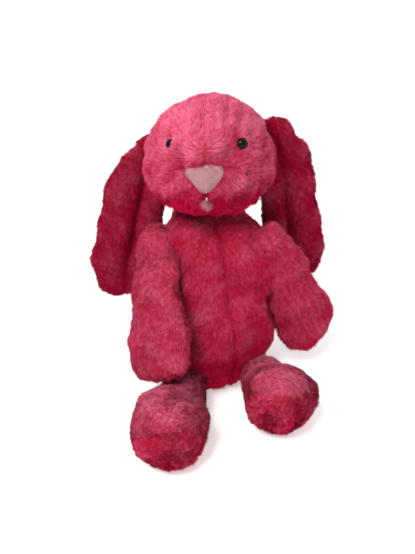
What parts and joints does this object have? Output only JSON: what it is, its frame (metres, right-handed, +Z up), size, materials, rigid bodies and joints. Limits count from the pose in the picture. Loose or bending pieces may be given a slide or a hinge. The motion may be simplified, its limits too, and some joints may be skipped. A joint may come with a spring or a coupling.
{
  "type": "stuffed toy rabbit",
  "caption": "Seated plush lop-eared rabbit soft toy with sewn head, ears, arms and weighted feet that turn at their seams.",
  "frame": {"origin": "centre of the flat seat, on the surface the toy sits on", "axes": "+Z up out of the seat through the head; face, legs and feet towards -Y; +X is the toy's own left"},
  "size_m": [0.2226, 0.2188, 0.2543],
  "materials": {
    "plush_pink": "deep-pile hot pink plush",
    "sole_plush": "short curly deep pink plush",
    "nose_velour": "pale pink short velour",
    "eye_black": "polished black bead",
    "washer": "moulded plastic washer",
    "stuffing": "polyester fibre fill",
    "bag_cloth": "thin woven cloth bag",
    "pellets": "loose plastic pellets",
    "thread": "strong sewing thread",
    "mouth_thread": "pale pink embroidery thread"
  },
  "bodies": {
    "torso": {"seat_pellet_bag": "bag_cloth", "seat_pellets": "pellets", "tail_cover": "plush_pink", "tail_stuffing": "stuffing", "torso_back_left_panel": "plush_pink", "torso_back_right_panel": "plush_pink", "torso_front_left_panel": "plush_pink", "torso_front_right_panel": "plush_pink", "torso_stuffing": "stuffing"},
    "neck": {"neck_stitch": "thread"},
    "head": {"head_gusset": "plush_pink", "head_left_panel": "plush_pink", "head_right_panel": "plush_pink", "head_stuffing": "stuffing", "left_eye": "eye_black", "left_eye_washer": "washer", "mouth_stitch": "mouth_thread", "nose_patch": "nose_velour", "right_eye": "eye_black", "right_eye_washer": "washer"},
    "right_arm": {"right_arm_back_panel": "plush_pink", "right_arm_front_panel": "plush_pink", "right_arm_stuffing": "stuffing"},
    "right_leg": {"right_foot_pellet_bag": "bag_cloth", "right_foot_pellets": "pellets", "right_leg_inner_panel": "plush_pink", "right_leg_outer_panel": "plush_pink", "right_leg_stuffing": "stuffing", "right_sole_panel": "sole_plush"},
    "right_ear": {"right_ear_back_panel": "plush_pink", "right_ear_front_panel": "plush_pink"},
    "left_arm": {"left_arm_back_panel": "plush_pink", "left_arm_front_panel": "plush_pink", "left_arm_stuffing": "stuffing"},
    "left_leg": {"left_foot_pellet_bag": "bag_cloth", "left_foot_pellets": "pellets", "left_leg_inner_panel": "plush_pink", "left_leg_outer_panel": "plush_pink", "left_leg_stuffing": "stuffing", "left_sole_panel": "sole_plush"},
    "left_ear": {"left_ear_back_panel": "plush_pink", "left_ear_front_panel": "plush_pink"}
  },
  "joints": [
    {"name": "head_turn", "type": "hinge", "parent": "torso", "child": "neck", "pos_m": [0, 0.01947, 0.1586], "axis": [0, 0.1219, 0.9925], "range_deg": [-6, 6], "stiffness_Nm_per_rad": 0.5},
    {"name": "head_nod", "type": "hinge", "parent": "neck", "child": "head", "pos_m": [0, 0.01947, 0.1586], "axis": [1, 0, 0], "range_deg": [-6, 5], "stiffness_Nm_per_rad": 0.5},
    {"name": "right_arm_lift", "type": "hinge", "parent": "torso", "child": "right_arm", "pos_m": [-0.0475, 0.01382, 0.137], "axis": [0, 1, 0], "range_deg": [0, 90]},
    {"name": "left_arm_lift", "type": "hinge", "parent": "torso", "child": "left_arm", "pos_m": [0.0525, 0.004, 0.1425], "axis": [0, -1, 0], "range_deg": [0, 60]},
    {"name": "right_leg_swing", "type": "hinge", "parent": "torso", "child": "right_leg", "pos_m": [-0.0265, -0.056, 0.0205], "axis": [1, 0, 0], "range_deg": [0, 75]},
    {"name": "left_leg_swing", "type": "hinge", "parent": "torso", "child": "left_leg", "pos_m": [0.0415, -0.048, 0.0225], "axis": [1, 0, 0], "range_deg": [0, 75]},
    {"name": "right_ear_lift", "type": "hinge", "parent": "head", "child": "right_ear", "pos_m": [-0.04849, 0.04632, 0.21257], "axis": [0, 1, 0], "range_deg": [0, 55]},
    {"name": "left_ear_lift", "type": "hinge", "parent": "head", "child": "left_ear", "pos_m": [0.06542, 0.0381, 0.21936], "axis": [0, -1, 0], "range_deg": [0, 55]}
  ]
}
